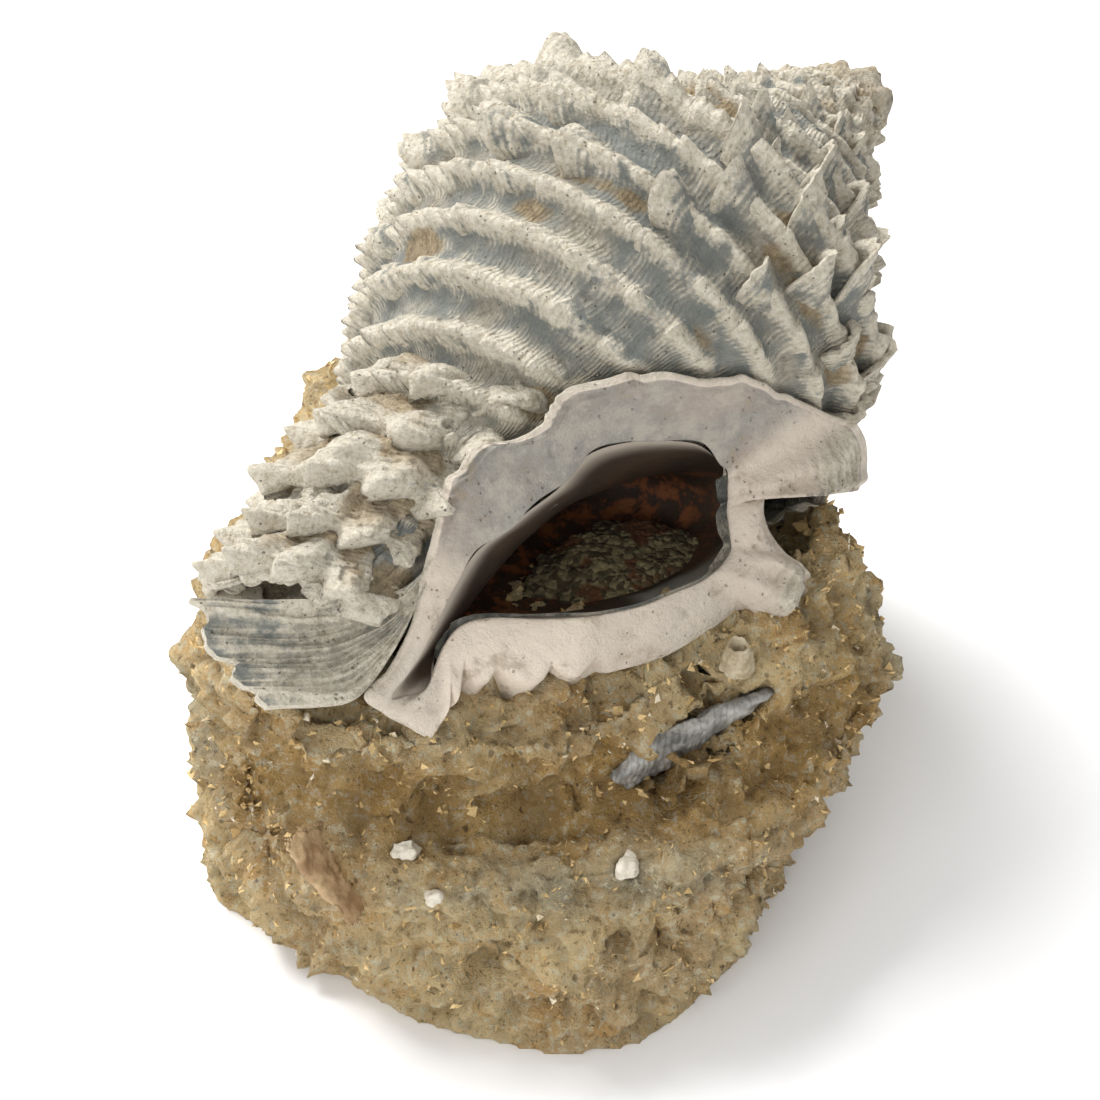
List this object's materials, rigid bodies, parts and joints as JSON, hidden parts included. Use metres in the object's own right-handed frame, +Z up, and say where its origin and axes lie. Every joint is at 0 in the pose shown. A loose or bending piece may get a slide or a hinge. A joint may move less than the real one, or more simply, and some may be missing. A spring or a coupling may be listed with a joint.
{
  "type": "murex shell",
  "caption": "Broad spiny sea-snail shell with a wide rimmed mouth and open canal, fossil, lying mouth up in its loose block of shelly sandstone.",
  "frame": {"origin": "middle of the whole object's footprint, on the ground", "axes": "+Z up; the block stands on its flat underside; -Y is the side that the shell's mouth and the rock's ledge face; the apex points back and to the right, towards +Y and +X"},
  "size_m": [0.0786, 0.091, 0.086],
  "materials": {
    "shell": "chalky fossil shell, cream on the ridges and blue grey in the grooves, smoother pinkish white round the mouth, rust brown inside",
    "rock": "rough porous tan sandstone full of shell grit, with ochre and grey green patches and dark pores",
    "sediment": "crumbly greenish grey grit",
    "nacre": "satin grey mother of pearl, layered",
    "tan_shell": "matt tan shell edge",
    "white_shell": "chalky white shell chip",
    "barnacle": "matt off-white ribbed plates"
  },
  "bodies": {
    "root": {"murex_shell": "shell", "matrix_block": "rock", "aperture_sediment": "sediment", "nacre_shard": "nacre", "tan_shell_edge": "tan_shell", "white_chip_1": "white_shell", "white_chip_2": "white_shell", "white_chip_3": "white_shell", "barnacle": "barnacle"}
  },
  "joints": []
}
